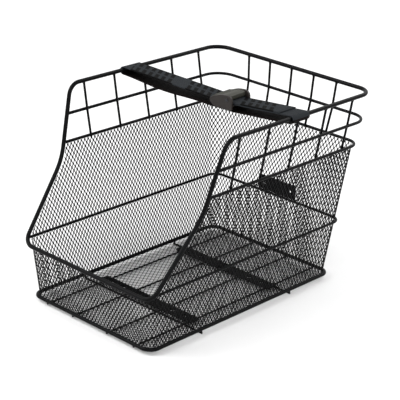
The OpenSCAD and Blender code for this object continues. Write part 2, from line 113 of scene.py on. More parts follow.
def mesh_object(name, verts, faces, material, smooth=True, uvs=None):
    """A mesh object from millimetre points. uvs is one (u, v) per vertex."""
    mesh = bpy.data.meshes.new(name)
    mesh.from_pydata([tuple(c * MM for c in v) for v in verts], [], faces)
    mesh.validate()
    if uvs is not None:
        layer = mesh.uv_layers.new(name="UVMap")
        for loop in mesh.loops:
            layer.data[loop.index].uv = uvs[loop.vertex_index]
    if smooth:
        shade_smooth(mesh)
    mesh.update()
    obj = bpy.data.objects.new(name, mesh)
    bpy.context.scene.collection.objects.link(obj)
    mesh.materials.append(material)
    return obj


def bend(a, b, c, radius, step=5.0):
    """Points round a bend of the given radius at b, on the way from a to c."""
    a, b, c = Vector(a), Vector(b), Vector(c)
    into, out = (b - a).normalized(), (c - b).normalized()
    angle = into.angle(out)
    if angle < 1e-4:
        return [b]
    side = (out - into * out.dot(into)).normalized()
    centre = b - into * radius * math.tan(angle / 2) + side * radius
    steps = max(2, math.ceil(math.degrees(angle) / step))
    return [
        centre - side * radius * math.cos(angle * i / steps) + into * radius * math.sin(angle * i / steps)
        for i in range(steps + 1)
    ]


def rounded_path(points, radii):
    """An open path through points, bent with radii[i] at points[i + 1]."""
    path = [Vector(points[0])]
    for i in range(1, len(points) - 1):
        path += bend(points[i - 1], points[i], points[i + 1], radii[i - 1])
    return path + [Vector(points[-1])]


def rounded_ring(points, radii):
    """A closed path through points, bent with radii[i] at points[i]."""
    n = len(points)
    path = []
    for i in range(n):
        path += bend(points[i - 1], points[i], points[(i + 1) % n], radii[i])
    return path


def spread(path, closed, longest=12.0):
    """The same path with no step longer than this, so that the surface detail stays even."""
    out = []
    n = len(path)
    for i in range(n if closed else n - 1):
        p, q = path[i], path[(i + 1) % n]
        pieces = max(1, math.ceil((q - p).length / longest))
        out += [p.lerp(q, k / pieces) for k in range(pieces)]
    return out if closed else out + [path[-1]]


class Builder:
    """Collects several shapes into one mesh."""

    def __init__(self):
        self.verts = []
        self.faces = []

    def tube(self, path, radius, closed=False, sides=20, end=0.35):
        """A round wire. Its ends are cut square with a small rounded edge."""
        path = spread([Vector(p) for p in path], closed)
        n = len(path)
        radii = [radius] * n
        if not closed:
            # a short taper at each end makes the broken edge of a cut wire
            first = (path[1] - path[0]).normalized()
            last = (path[-1] - path[-2]).normalized()
            start, stop, edge = path[0], path[-1], end * 0.3
            path = [start, start + first * edge, start + first * end] + path[1:-1]
            path += [stop - last * end, stop - last * edge, stop]
            taper = [radius - end, radius - edge, radius]
            radii = taper + [radius] * (n - 2) + taper[::-1]
            n = len(path)
        tangents = []
        for i in range(n):
            if closed:
                t = path[(i + 1) % n] - path[i - 1]
            else:
                t = path[min(i + 1, n - 1)] - path[max(i - 1, 0)]
            tangents.append(t.normalized())
        t = tangents[0]
        u = t.orthogonal().normalized()
        frames = [u]
        for i in range(1, n):
            turn = tangents[i - 1].rotation_difference(tangents[i])
            u = turn @ u
            u = (u - tangents[i] * u.dot(tangents[i])).normalized()
            frames.append(u)
        twist = 0.0
        if closed:
            back = tangents[-1].rotation_difference(tangents[0]) @ frames[-1]
            twist = math.atan2(back.cross(frames[0]).dot(tangents[0]), back.dot(frames[0]))
        base = len(self.verts)
        for i in range(n):
            v = tangents[i].cross(frames[i])
            for k in range(sides):
                a = 2 * math.pi * k / sides + twist * i / n
                self.verts.append(path[i] + radii[i] * (frames[i] * math.cos(a) + v * math.sin(a)))
        for i in range(n if closed else n - 1):
            near, far = base + i * sides, base + (i + 1) % n * sides
            for k in range(sides):
                m = (k + 1) % sides
                self.faces.append((near + k, near + m, far + m, far + k))
        if not closed:
            self.faces.append(tuple(base + k for k in reversed(range(sides))))
            self.faces.append(tuple(base + (n - 1) * sides + k for k in range(sides)))

    def weld(self, centre, size, seed):
        """A lumpy weld nugget: an uneven low mound of the given half sizes."""
        base = len(self.verts)
        rows, cols = 6, 12
        for i in range(rows + 1):
            a = math.pi * i / rows
            for k in range(cols):
                b = 2 * math.pi * k / cols
                lump = 1 + 0.08 * math.sin(3 * b + seed) * math.sin(a) + 0.05 * math.sin(5 * a + 2 * seed)
                self.verts.append(Vector(centre) + Vector((
                    size[0] * math.sin(a) * math.cos(b) * lump,
                    size[1] * math.sin(a) * math.sin(b) * lump,
                    size[2] * math.cos(a) * lump)))
        for i in range(rows):
            near, far = base + i * cols, base + (i + 1) * cols
            for k in range(cols):
                m = (k + 1) % cols
                self.faces.append((near + k, far + k, far + m, near + m))

    def make(self, name, node):
        """The wire that takes the place of the frame's CAD node."""
        obj = mesh_object(name, self.verts, self.faces, WIRE)
        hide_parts(node)
        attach(obj, "frame")


# ---- Materials ----


def new_material(name):
    mat = bpy.data.materials.new(name)
    mat.use_nodes = True
    nodes = mat.node_tree.nodes
    return mat, nodes, mat.node_tree.links, nodes["Principled BSDF"]


def noise(nodes, links, scale, detail):
    """Noise fixed to the object, as a value from 0 to 1."""
    coords = nodes.new("ShaderNodeTexCoord")
    node = nodes.new("ShaderNodeTexNoise")
    node.inputs["Scale"].default_value = scale
    node.inputs["Detail"].default_value = detail
    links.new(coords.outputs["Object"], node.inputs["Vector"])
    return node.outputs["Fac"]


def add_bump(nodes, links, shader, height, strength, distance):
    bump = nodes.new("ShaderNodeBump")
    bump.inputs["Strength"].default_value = strength
    bump.inputs["Distance"].default_value = distance
    links.new(height, bump.inputs["Height"])
    links.new(bump.outputs["Normal"], shader.inputs["Normal"])


def shades(nodes, links, value, low, dark, high, light):
    """A colour that is dark where value is low and light where it is high."""
    ramp = nodes.new("ShaderNodeValToRGB")
    first, last = ramp.color_ramp.elements
    first.position, first.color = low, [*dark, 1]
    last.position, last.color = high, [*light, 1]
    links.new(value, ramp.inputs["Fac"])
    return ramp.outputs["Color"]


def powder_coat(name, colour, roughness, grain, depth):
    """Powder coat over steel: near black, with a fine orange peel and slightly uneven gloss."""
    mat, nodes, links, shader = new_material(name)
    shader.inputs["Roughness"].default_value = roughness
    shader.inputs["Specular IOR Level"].default_value = 0.07
    peel = noise(nodes, links, grain, 3.0)
    add_bump(nodes, links, shader, peel, depth, 0.0002)
    patches = noise(nodes, links, 35.0, 4.0)
    dark, light = [c * 0.75 for c in colour], [c * 1.3 for c in colour]
    links.new(shades(nodes, links, patches, 0.35, dark, 0.7, light), shader.inputs["Base Color"])
    gloss = nodes.new("ShaderNodeMapRange")
    gloss.inputs["To Min"].default_value = roughness - 0.06
    gloss.inputs["To Max"].default_value = roughness + 0.08
    links.new(patches, gloss.inputs["Value"])
    links.new(gloss.outputs["Result"], shader.inputs["Roughness"])
    return mat


# The woven pattern, in millimetres along and across the webbing
PATTERN_BLOCKS = [(436.0, 514.0), (538.0, 592.0), (636.0, 692.0)]
# Where the webbing runs underneath, in millimetres along it: its colour there is painted shade, darker and
# browner
SHADED_UNDERSIDE = (107.0, 424.0)
PATTERN_SLANT, BAR_PITCH, BAR_GAP, BORDER = 0.55, 12.0, 2.2, 14.5
RIB_PITCH, WARP_PITCH = 1.5, 1.1


def webbing_material(name):
    """Woven polyester: fine ribs across grey webbing, with blocks of slanting black bars woven in.
    It is drawn from the strap's own UV, in metres along and across the strap. The stretch that
    passes underneath is plain, and is painted darker and browner there as the shade it lies in."""
    mat, nodes, links, shader = new_material(name)
    shader.inputs["Roughness"].default_value = 0.7
    shader.inputs["Specular IOR Level"].default_value = 0.05
    coords = nodes.new("ShaderNodeUVMap")
    coords.uv_map = "UVMap"
    split = nodes.new("ShaderNodeSeparateXYZ")
    links.new(coords.outputs["UV"], split.inputs["Vector"])

    def math_node(kind, *values):
        node = nodes.new("ShaderNodeMath")
        node.operation = kind
        for socket, value in zip(node.inputs, values):
            if isinstance(value, (int, float)):
                socket.default_value = value
            else:
                links.new(value, socket)
        return node.outputs["Value"]

    def product(a, b):
        return math_node("MULTIPLY", a, b)

    def between(value, low, high):
        return product(math_node("GREATER_THAN", value, low), math_node("LESS_THAN", value, high))

    def wave(value, pitch):
        return math_node("SINE", product(value, 2 * math.pi / pitch))

    u = product(split.outputs["X"], 1 / MM)
    v = product(split.outputs["Y"], 1 / MM)
    off_middle = math_node("ABSOLUTE", v)
    slanted = math_node("ADD", u, product(v, PATTERN_SLANT))
    blocks = 0.0
    for start, stop in PATTERN_BLOCKS:
        blocks = math_node("ADD", between(slanted, start, stop), blocks)
    bars = math_node("GREATER_THAN", wave(slanted, BAR_PITCH), -0.15)
    gaps = math_node("GREATER_THAN", off_middle, BAR_GAP)
    border = math_node("GREATER_THAN", off_middle, BORDER)
    marks = product(blocks, math_node("MAXIMUM", product(bars, gaps), border))
    weave = math_node("ADD", product(wave(u, RIB_PITCH), 0.4), product(wave(v, WARP_PITCH), 0.25))
    fuzz = noise(nodes, links, 1500.0, 2.0)
    height = math_node("ADD", math_node("ADD", weave, product(fuzz, 0.5)), product(marks, -0.8))
    add_bump(nodes, links, shader, height, 0.6, 0.0003)

    def fuzzy(dark, light):
        return shades(nodes, links, fuzz, 0.25, dark, 0.85, light)

    def mixed(factor, a, b):
        mix = nodes.new("ShaderNodeMix")
        mix.data_type = "RGBA"
        links.new(factor, mix.inputs["Factor"])
        links.new(a, mix.inputs["A"])
        links.new(b, mix.inputs["B"])
        return mix.outputs["Result"]

    grey = fuzzy((0.014, 0.016, 0.018), (0.027, 0.03, 0.034))
    black = fuzzy((0.0008, 0.0008, 0.0008), (0.0022, 0.0022, 0.0022))
    # painted shade: the stretch underneath gets this darker brown for the shade it lies in under the upper
    # layer
    painted_shade_brown = fuzzy((0.002, 0.0013, 0.0012), (0.0065, 0.0042, 0.0038))
    top = mixed(marks, grey, black)
    # the mask of the stretch underneath, where the painted shade goes
    painted_shade_under = between(u, *SHADED_UNDERSIDE)
    links.new(mixed(painted_shade_under, top, painted_shade_brown), shader.inputs["Base Color"])
    return mat


def plastic(name, colour, roughness):
    """Moulded plastic with a fine spark-eroded texture and faint flow marks."""
    mat, nodes, links, shader = new_material(name)
    shader.inputs["Roughness"].default_value = roughness
    shader.inputs["Specular IOR Level"].default_value = 0.25
    coords = nodes.new("ShaderNodeTexCoord")
    grain = nodes.new("ShaderNodeTexVoronoi")
    grain.inputs["Scale"].default_value = 900.0
    links.new(coords.outputs["Object"], grain.inputs["Vector"])
    add_bump(nodes, links, shader, grain.outputs["Distance"], 0.25, 0.0002)
    flow = noise(nodes, links, 90.0, 5.0)
    dark, light = [c * 0.82 for c in colour], [c * 1.15 for c in colour]
    links.new(shades(nodes, links, flow, 0.3, dark, 0.75, light), shader.inputs["Base Color"])
    return mat


def steel(name):
    """Plain blackened steel, with a fine uneven grain."""
    mat, nodes, links, shader = new_material(name)
    shader.inputs["Metallic"].default_value = 1.0
    shader.inputs["Roughness"].default_value = 0.4
    grain = noise(nodes, links, 1200.0, 3.0)
    add_bump(nodes, links, shader, grain, 0.3, 0.0001)
    dark, light = (0.02, 0.02, 0.022), (0.07, 0.07, 0.075)
    links.new(shades(nodes, links, grain, 0.0, dark, 1.0, light), shader.inputs["Base Color"])
    return mat


WIRE = powder_coat("black_powder_coat", (0.0018, 0.002, 0.0023), 0.3, 900.0, 0.3)
MESH = powder_coat("black_powder_coat_mesh", (0.0015, 0.0016, 0.0018), 0.38, 1400.0, 0.25)
STRIP = powder_coat("black_powder_coat_strip", (0.0022, 0.0024, 0.0027), 0.35, 700.0, 0.35)
WEBBING = webbing_material("webbing")
BUCKLE = plastic("buckle_plastic", (0.017, 0.0135, 0.012), 0.45)
LEVER = plastic("lever_plastic", (0.033, 0.033, 0.025), 0.5)
PIN = steel("pin_steel")

# ---- Wires ----

FRONT_FOOT = Vector((side_x(FRONT_BAR_Z, TOP_RIM_R), front_y(FRONT_BAR_Z, TOP_RIM_R), FRONT_BAR_Z))
KNEE = Vector((side_x(KNEE_Z, TOP_RIM_R), -KNEE_FRONT, KNEE_Z))
RISER_TOP = Vector((TOP_RIM_X, -RISER_FRONT, TOP_RIM_Z))
REAR_TOP = Vector((TOP_RIM_X, TOP_RIM_REAR, TOP_RIM_Z))


def mirrored(p):
    """The same point on the other side of the basket."""
    return Vector((-p[0], p[1], p[2]))


def along(p, q, z):
    """The point at height z on the line through p and q."""
    return p + (q - p) * (z - p[2]) / (q[2] - p[2])


def bottom_rim():
    x, r = side_x(RIM_Z, BOTTOM_RIM_R), BOTTOM_RIM_R
    front, rear = front_y(RIM_Z, r), rear_y(RIM_Z, r)
    corners = [(-x, front, RIM_Z), (x, front, RIM_Z), (x, rear, RIM_Z), (-x, rear, RIM_Z)]
    b = Builder()
    b.tube(rounded_ring(corners, [BASE_CORNER] * 4), r, closed=True)
    b.make("bottom_rim_wire", "bottom_rim")


def top_rim():
    right = [FRONT_FOOT, KNEE, RISER_TOP, REAR_TOP]
    radii = [skin_corner(FRONT_BAR_Z) + TOP_RIM_R, KNEE_BEND, RISER_BEND, TOP_BEND]
    corners = right + [mirrored(p) for p in reversed(right)]
    b = Builder()
    b.tube(rounded_ring(corners, radii + radii[::-1]), TOP_RIM_R, closed=True, sides=24)
    b.make("top_rim_wire", "top_rim")


def u_rail(name, node, r, z, x, front, rear, radius, weld_behind):
    """A rail round the sides and rear, with its two cut ends welded to the top rim wire at the front."""
    b = Builder()
    corners = [(x, front, z), (x, rear, z), (-x, rear, z), (-x, front, z)]
    b.tube(rounded_path(corners, [radius, radius]), r)
    for side in (-1, 1):
        b.weld((side * x, front + weld_behind, z), (r * 0.95, r * 1.5, r * 1.05), side)
    b.make(name, node)


def rails():
    z = MIDDLE_RAIL_Z
    front = along(KNEE, RISER_TOP, z)[1] + MIDDLE_BUTT
    u_rail("middle_rail_wire", "middle_rail", RAIL_R, z, MIDDLE_RAIL_X, front, MIDDLE_RAIL_REAR,
           MIDDLE_BEND, 0.3)
    z = MESH_RAIL_Z
    front = along(KNEE, RISER_TOP, z)[1] + MESH_BUTT
    u_rail("mesh_rail_wire", "mesh_rail", RAIL_R, z, side_x(z, RAIL_R), front, rear_y(z, RAIL_R),
           skin_corner(z) + RAIL_R, 0.3)
    z = BELT_Z
    front = along(FRONT_FOOT, KNEE, z)[1] + BELT_BUTT
    u_rail("belt_wire_outer", "belt_wire", BELT_R, z, side_x(z, BELT_R), front, rear_y(z, BELT_R),
           skin_corner(z) + BELT_R, 0.0)


WELD_DEPTH = 0.1
UPRIGHT_INSET = RAIL_R + UPRIGHT_R - WELD_DEPTH
UPRIGHT_FOOT_Z = MESH_RAIL_Z - 1
UPRIGHT_TOP_Z = TOP_RIM_Z - TOP_RIM_R + WELD_DEPTH
UPRIGHT_BEND = 6.0


def upright(name, foot, waist, top, outward, seed):
    """One upright, with its welds to the mesh rail, the middle rail and the top rim. outward is the
    way out of the basket."""
    b = Builder()
    b.tube(rounded_path([foot, waist, top], [UPRIGHT_BEND]), UPRIGHT_R, sides=16)
    flat = Vector(outward)
    r = UPRIGHT_R
    b.weld(Vector(top) - Vector((0, 0, 0.4)), (r * 1.25, r * 1.25, 1.3), seed)
    for z, point in ((MESH_RAIL_Z, foot), (MIDDLE_RAIL_Z, waist)):
        centre = Vector((point[0], point[1], z)) + flat * r * 0.95
        along_wall = Vector((-flat[1], flat[0], 0))
        size = (
            abs(flat[0]) * 0.9 + abs(along_wall[0]) * r * 1.35,
            abs(flat[1]) * 0.9 + abs(along_wall[1]) * r * 1.35,
            r * 1.0,
        )
        b.weld(centre, size, seed + z)
    b.make(name + "_wire", name)


def uprights():
    for side, word in ((-1, "left"), (1, "right")):
        foot_x = side_x(MESH_RAIL_Z, RAIL_R) - UPRIGHT_INSET
        waist_x = MIDDLE_RAIL_X - UPRIGHT_INSET
        top_x = TOP_RIM_X - 1
        for i in range(UPRIGHTS):
            y = SIDE_FIRST + SIDE_PITCH * i
            foot = (side * foot_x, y + 2, UPRIGHT_FOOT_Z)
            waist = (side * waist_x, y + 1, MIDDLE_RAIL_Z)
            top = (side * top_x, y, UPRIGHT_TOP_Z)
            upright(f"{word}_upright_{i + 1}", foot, waist, top, (side, 0, 0), i + 3 * side)
    foot_y = rear_y(MESH_RAIL_Z, RAIL_R) - UPRIGHT_INSET
    waist_y = MIDDLE_RAIL_REAR - UPRIGHT_INSET
    # the rear uprights fan out a little towards the top
    for i in range(UPRIGHTS):
        x = REAR_PITCH * (i - 2)
        foot = (x * 0.93, foot_y, UPRIGHT_FOOT_Z)
        waist = (x * 0.965, waist_y, MIDDLE_RAIL_Z)
        top = (x, TOP_RIM_REAR - 1, UPRIGHT_TOP_Z)
        upright(f"rear_upright_{i + 1}", foot, waist, top, (0, 1, 0), i + 7)


def floor_wires():
    front, rear = front_y(RIM_Z, BOTTOM_RIM_R) - 1, rear_y(RIM_Z, BOTTOM_RIM_R) + 1
    for i, x in enumerate(FLOOR_WIRE_X):
        b = Builder()
        b.tube([(x, front, FLOOR_WIRE_Z), (x, rear, FLOOR_WIRE_Z)], FLOOR_R, sides=16, end=0.25)
        for y in (front + 1, rear - 1):
            b.weld((x, y, FLOOR_WIRE_Z + 1.2), (1.9, 1.8, 0.8), i)
        for y in (CROSS_FRONT, CROSS_REAR):
            b.weld((x, y, FLOOR_WIRE_Z - 1.2), (1.6, 1.6, 0.6), i + y)
        b.make(f"floor_wire_{i + 1}_wire", f"floor_wire_{i + 1}")
    half = side_x(RIM_Z, BOTTOM_RIM_R) + 1
    for y, word in ((CROSS_FRONT, "front"), (CROSS_REAR, "rear")):
        b = Builder()
        b.tube([(-half, y, CROSS_Z), (half, y, CROSS_Z)], FLOOR_R, sides=16, end=0.25)
        for side in (-1, 1):
            b.weld((side * (half - 1.5), y, CROSS_Z + 2.2), (1.6, 1.9, 1.9), side)
        b.make(f"{word}_cross_wire_wire", f"{word}_cross_wire")


# ---- Expanded mesh ----

CELL_U, CELL_Z = 6.2, 10.0
CORNER_CELLS = 4
MESH_T = 0.8
# How far the mesh stops short of the wires at its edges
EDGE = 1.5
MID_Z = (FLOOR_MESH_Z + MESH_RAIL_Z) / 2
WALL_CELLS = {
    "side": round((corner_rear(MID_Z) - corner_front(MID_Z)) / CELL_U),
    "end": round(2 * corner_x(MID_Z) / CELL_U),
}


def skin_point(u, z, n):
    """A point of the band of mesh. u counts cells from the middle of the right wall's front corner
    centre round the rear, z is the height, n is how far out from the sheet's middle."""
    radius = skin_corner(z) - 0.45 + n
    x, front, rear = corner_x(z), corner_front(z), corner_rear(z)
    corners = [(x, front), (x, rear), (-x, rear), (-x, front)]
    side, end = WALL_CELLS["side"], WALL_CELLS["end"]
    u = u % (2 * (side + end) + 4 * CORNER_CELLS)
    for i, cells in enumerate((side, end, side, end)):
        start, stop = corners[i], corners[(i + 1) % 4]
        if u <= cells:
            a = math.radians(90 * i)
            centre = [p + (q - p) * u / cells for p, q in zip(start, stop)]
            break
        u -= cells
        if u <= CORNER_CELLS:
            a = math.radians(90 * (i + u / CORNER_CELLS))
            centre = stop
            break
        u -= CORNER_CELLS
    return Vector((centre[0] + radius * math.cos(a), centre[1] + radius * math.sin(a), z))


def diamond(x, side_x, side_z, z):
    """Eight points round a diamond whose sides bulge through (side_x, side_z), from the top to the right."""
    return [(0, z), (side_x, side_z), (x, 0), (side_x, -side_z), (0, -z), (-side_x, -side_z), (-x, 0),
            (-side_x, side_z)]


# One hole of the mesh and the cell round it, in half cells. The strands lean by TILT mm at the
# hole's left and right corners.
HOLE_X = 0.6
CELL_OUTER = diamond(1, 0.5, 0.5, 1)
HOLE = diamond(HOLE_X, 0.39, 0.38, 0.73)
TILT = -0.14
WALL_OPENING, FLOOR_OPENING = 1.04, 1.15


def lattice(place, columns, rows, opening, keep=None):
    """The faces of an expanded mesh. place(column, row, n) gives a point, with columns and rows in
    half cells. opening widens the holes. The strands are twisted, so one side of each hole stands out
    and the other side stands in."""
    verts, faces, index = [], [], {}

    def vertex(c, r, n):
        key = (round(c, 4), round(r, 4), round(n, 4))
        if key not in index:
            index[key] = len(verts)
            verts.append(place(c, r, n))
        return index[key]

    half = MESH_T / 2
    layers = [(CELL_OUTER, half), (HOLE, half * 0.45), (HOLE, -half * 0.45), (CELL_OUTER, -half)]
    for i in range(columns[0], columns[1] + 1):
        for j in range(rows[0], rows[1] + 1):
            if (i + j) % 2 or (keep and not keep(i, j)):
                continue
            rings = []
            for points, n in layers:
                tilt, scale = (0, 1) if points is CELL_OUTER else (TILT / HOLE_X, opening)
                rings.append([vertex(i + x * scale, j + y * scale, n + tilt * x) for x, y in points])
            for near, far in zip(rings, rings[1:]):
                for k in range(8):
                    m = (k + 1) % 8
                    faces.append((near[k], near[m], far[m], far[k]))
    return verts, faces


def trim(obj, planes):
    """Cuts the mesh off beyond each plane, given as (point, normal) in millimetres, and caps the strands."""
    bm = bmesh.new()
    bm.from_mesh(obj.data)
    for point, normal in planes:
        cut = bmesh.ops.bisect_plane(
            bm, geom=bm.verts[:] + bm.edges[:] + bm.faces[:], dist=1e-7,
            plane_co=Vector(point) * MM, plane_no=Vector(normal).normalized(), clear_outer=True)
        edges = [g for g in cut["geom_cut"] if isinstance(g, bmesh.types.BMEdge)]
        bmesh.ops.holes_fill(bm, edges=edges, sides=12)
    bm.to_mesh(obj.data)
    bm.free()
    shade_smooth(obj.data)
    obj.data.update()


def across_wall(low, high):
    """The plane just behind a wire from low to high, running across the basket."""
    slope = Vector((0, high[1] - low[1], high[2] - low[2])).normalized()
    out_of = Vector((0, -slope[2], slope[1]))
    return (Vector(low) - out_of * EDGE, out_of)


def wall_panels():
    foot, top = FLOOR_MESH_Z + MESH_T, MESH_RAIL_Z - EDGE
    diagonal, riser = across_wall(FRONT_FOOT, KNEE), across_wall(KNEE, RISER_TOP)
    below = (foot, KNEE_Z, diagonal)
    above = (KNEE_Z, top, riser)
    rows = (0, math.ceil((top - foot) / (CELL_Z / 2)) + 1)

    def place(column, row, n):
        return skin_point(column / 2, foot + row * CELL_Z / 2, n)

    panels = (
        ("right_mesh", "side", [below, above]),
        ("rear_mesh", "end", [(foot, top, None)]),
        ("left_mesh", "side", [below, above]),
        ("front_mesh", "end", [(foot, FRONT_BAR_Z - EDGE, None)]),
    )
    # each panel takes its wall and half of the corner at either end
    stop = -CORNER_CELLS / 2
    for name, wall, bands in panels:
        start, stop = stop, stop + WALL_CELLS[wall] + CORNER_CELLS
        columns = (round(2 * start), round(2 * stop) - 1)
        verts, faces = lattice(place, columns, rows, WALL_OPENING)
        whole = bmesh.new()
        for low, high, wire in bands:
            part = mesh_object(name + "_strands", verts, faces, MESH)
            planes = [((0, 0, high), (0, 0, 1)), ((0, 0, low), (0, 0, -1))]
            trim(part, planes + ([wire] if wire else []))
            whole.from_mesh(part.data)
            bpy.data.objects.remove(part)
        obj = mesh_object(name + "_strands", [], [], MESH)
        whole.to_mesh(obj.data)
        whole.free()
        shade_smooth(obj.data)
        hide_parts(name)
        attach(obj, "frame")


BOLTS = [(x, y) for x in (-72, -49, 49, 72) for y in (-85, 75)]
BOLT_CLEARANCE = 5.5
FLOOR_MIDDLE_Y = -10


def floor_panel():
    gap = 0.2
    half_w, front, rear = SKIN_X0 - gap, -(SKIN_FRONT0 - gap), SKIN_REAR0 - gap
    mid_z = FLOOR_MESH_Z + MESH_T / 2
    half_u, half_l = CELL_U / 2, CELL_Z / 2

    def place(column, row, n):
        return Vector((column * half_u, row * half_l + FLOOR_MIDDLE_Y, mid_z + n))

    def keep(i, j):
        """Leaves out the holes past the rounded corners and over the bolts."""
        x, y, _ = place(i, j, 0)
        dx, dy = abs(x) - corner_x(RIM_Z), max(y - corner_rear(RIM_Z), corner_front(RIM_Z) - y)
        if dx > 0 and dy > 0 and math.hypot(dx, dy) > skin_corner(RIM_Z) + 2:
            return False
        return all(math.hypot(x - bx, y - by) > BOLT_CLEARANCE for bx, by in BOLTS)

    cols = math.ceil(half_w / half_u) + 1
    first_row = math.floor((front - FLOOR_MIDDLE_Y) / half_l) - 1
    last_row = math.ceil((rear - FLOOR_MIDDLE_Y) / half_l) + 1
    verts, faces = lattice(place, (-cols, cols), (first_row, last_row), FLOOR_OPENING, keep)
    obj = mesh_object("floor_mesh_strands", verts, faces, MESH)
    planes = [((side * half_w, 0, 0), (side, 0, 0)) for side in (1, -1)]
    planes += [((0, front, 0), (0, -1, 0)), ((0, rear, 0), (0, 1, 0))]
    for sx in (-1, 1):
        for cy, sy in ((corner_front(RIM_Z), -1), (corner_rear(RIM_Z), 1)):
            for a in (22.5, 45, 67.5):
                d = Vector((sx * math.cos(math.radians(a)), sy * math.sin(math.radians(a)), 0))
                planes.append((Vector((sx * corner_x(RIM_Z), cy, 0)) + d * (skin_corner(RIM_Z) + 0.3), d))
    trim(obj, planes)
    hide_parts("floor_mesh")
    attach(obj, "frame")


# ---- Strips and plate: the CAD pieces with softened edges ----


def soften(node, width, material):
    """Gives a CAD piece its material and slightly rounded edges. Its mesh stays as it is."""
    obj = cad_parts[node]
    obj.data.materials.clear()
    obj.data.materials.append(material)
    bevel = obj.modifiers.new("softened edges", "BEVEL")
    bevel.width = width * MM
    bevel.segments = 3
    bevel.limit_method = "ANGLE"
    bevel.angle_limit = math.radians(35)
    bevel.harden_normals = True


# ---- Strap ----

STRAP_SLANT = 21.0 / 298.0
STRAP_ANGLE = math.atan(STRAP_SLANT)
STRAP_MID_Y = 29.5
STRAP_SAG = 7.0
STRAP_W, STRAP_T, STRAP_LOOP_R = 34.0, 1.5, 5.25
STRAP_TOP_Z = TOP_RIM_Z + TOP_RIM_R + 0.4 + STRAP_T / 2
BUCKLE_Z = STRAP_TOP_Z - STRAP_SAG
FLAT_START, FLAT_END = 12.0, 55.0
# The lower layer's own sag, and the tail's height above the layer below it, from TAIL_START on
SLACK = 3.2
TAIL_START, TAIL_RISE_L, TAIL_LIFT = 34, 9, 1.65
TAIL_END = 131.0
SLIT_X, SLIT_Y, SLIT_L, SLIT_W = TOP_RIM_X - 1, 41.9, 9.0, 10.3


def strap_line():
    """The webbing's middle line as (x, z), from the buckle's bar round both rims to the end of the tail."""
    centre_z = STRAP_TOP_Z - STRAP_LOOP_R
    low_z = centre_z - STRAP_LOOP_R

    def arc(x, start):
        angles = [math.radians(start - 180 * i / 16) for i in range(17)]
        return [(x + STRAP_LOOP_R * math.cos(a), centre_z + STRAP_LOOP_R * math.sin(a)) for a in angles]

    def level(x):
        """How far the strap hangs down at x: it is lowest, and flat, along the buckle."""
        if x < FLAT_START:
            return STRAP_SAG * (x + TOP_RIM_X) / (FLAT_START + TOP_RIM_X)
        if x > FLAT_END:
            return STRAP_SAG * (TOP_RIM_X - x) / (TOP_RIM_X - FLAT_END)
        return STRAP_SAG

    def upper(stations, lift=0.0):
        return [(x, STRAP_TOP_Z - level(x) + lift) for x in stations]

    def lower(stations):
        """The lower layer, which hangs a little slack between the left rim and the buckle."""
        slack = [SLACK * math.sin(math.pi * x / TOP_RIM_X) ** 2 if x < 0 else 0.0 for x in stations]
        return [(x, low_z - level(x) - s) for x, s in zip(stations, slack)]

    right_of_buckle = (50, 55, *range(60, 132, 8))
    line = upper((*right_of_buckle, 132, 140)) + arc(TOP_RIM_X, 90)
    line += lower((*range(140, 60, -10), 60, 55, 50, 40, 30, 20, 12, *range(6, -146, -6)))
    line += arc(-TOP_RIM_X, -90)
    line += upper((*range(-140, 10, 10), 6, 12, 20, 30, TAIL_START))
    rise = [i / 6 for i in range(1, 7)]
    line += [(TAIL_START + TAIL_RISE_L * t, BUCKLE_Z + TAIL_LIFT * (3 * t * t - 2 * t ** 3)) for t in rise]
    return line + upper((*right_of_buckle, TAIL_END), TAIL_LIFT)


def cut_slit(obj):
    """The slit in the loop that the middle right upright passes through."""
    x0, x1 = SLIT_X - SLIT_L / 2, SLIT_X + SLIT_L / 2
    y0, y1 = SLIT_Y - SLIT_W / 2, SLIT_Y + SLIT_W / 2
    z0 = STRAP_TOP_Z - 2 * STRAP_LOOP_R - STRAP_T
    z1 = z0 + STRAP_LOOP_R
    corners = [(x, y, z) for z in (z0, z1) for x, y in ((x0, y0), (x1, y0), (x1, y1), (x0, y1))]
    faces = [(3, 2, 1, 0), (4, 5, 6, 7), (0, 1, 5, 4), (1, 2, 6, 5), (2, 3, 7, 6), (3, 0, 4, 7)]
    cutter = mesh_object("slit_cutter", corners, faces, WEBBING, smooth=False)
    cut = obj.modifiers.new("slit", "BOOLEAN")
    cut.object = cutter
    cut.solver = "EXACT"
    bpy.context.view_layer.update()
    obj.data = bpy.data.meshes.new_from_object(obj.evaluated_get(bpy.context.evaluated_depsgraph_get()))
    obj.modifiers.clear()
    bpy.data.objects.remove(cutter)


def strap():
    """The webbing, as its section carried along its line. t is 1 at the upper face and -1 at the lower."""
    line = strap_line()
    half = STRAP_W / 2
    edge, edge_t = half - 0.35, 0.45
    across = [-edge] + [half * k / 5 for k in range(-4, 5)] + [edge]
    section = [(s, 1) for s in across] + [(half, edge_t), (half, -edge_t)]
    section += [(s, -1) for s in reversed(across)] + [(-half, -edge_t), (-half, edge_t)]
    m = len(section)
    verts, uvs, travelled = [], [], 0.0
    for i, (x, z) in enumerate(line):
        before, after = line[max(i - 1, 0)], line[min(i + 1, len(line) - 1)]
        flat = Vector((after[0] - before[0], after[1] - before[1])).normalized()
        if i:
            travelled += math.hypot(x - before[0], z - before[1])
        for s, t in section:
            px, pz = x - flat[1] * t * STRAP_T / 2, z + flat[0] * t * STRAP_T / 2
            verts.append((px, STRAP_MID_Y + STRAP_SLANT * px + s, pz))
            uvs.append((travelled * MM, s * MM))
    faces = []
    for i in range(len(line) - 1):
        for k in range(m):
            n = (k + 1) % m
            faces.append((m * i + k, m * i + n, m * (i + 1) + n, m * (i + 1) + k))
    last = m * (len(line) - 1)
    faces += [tuple(reversed(range(m))), tuple(last + k for k in range(m))]
    obj = mesh_object("strap_webbing_woven", verts, faces, WEBBING, uvs=uvs)
    cut_slit(obj)
    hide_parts("strap_webbing")
    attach(obj, "strap")


# ---- Buckle: drawn along the strap, with z as height ----

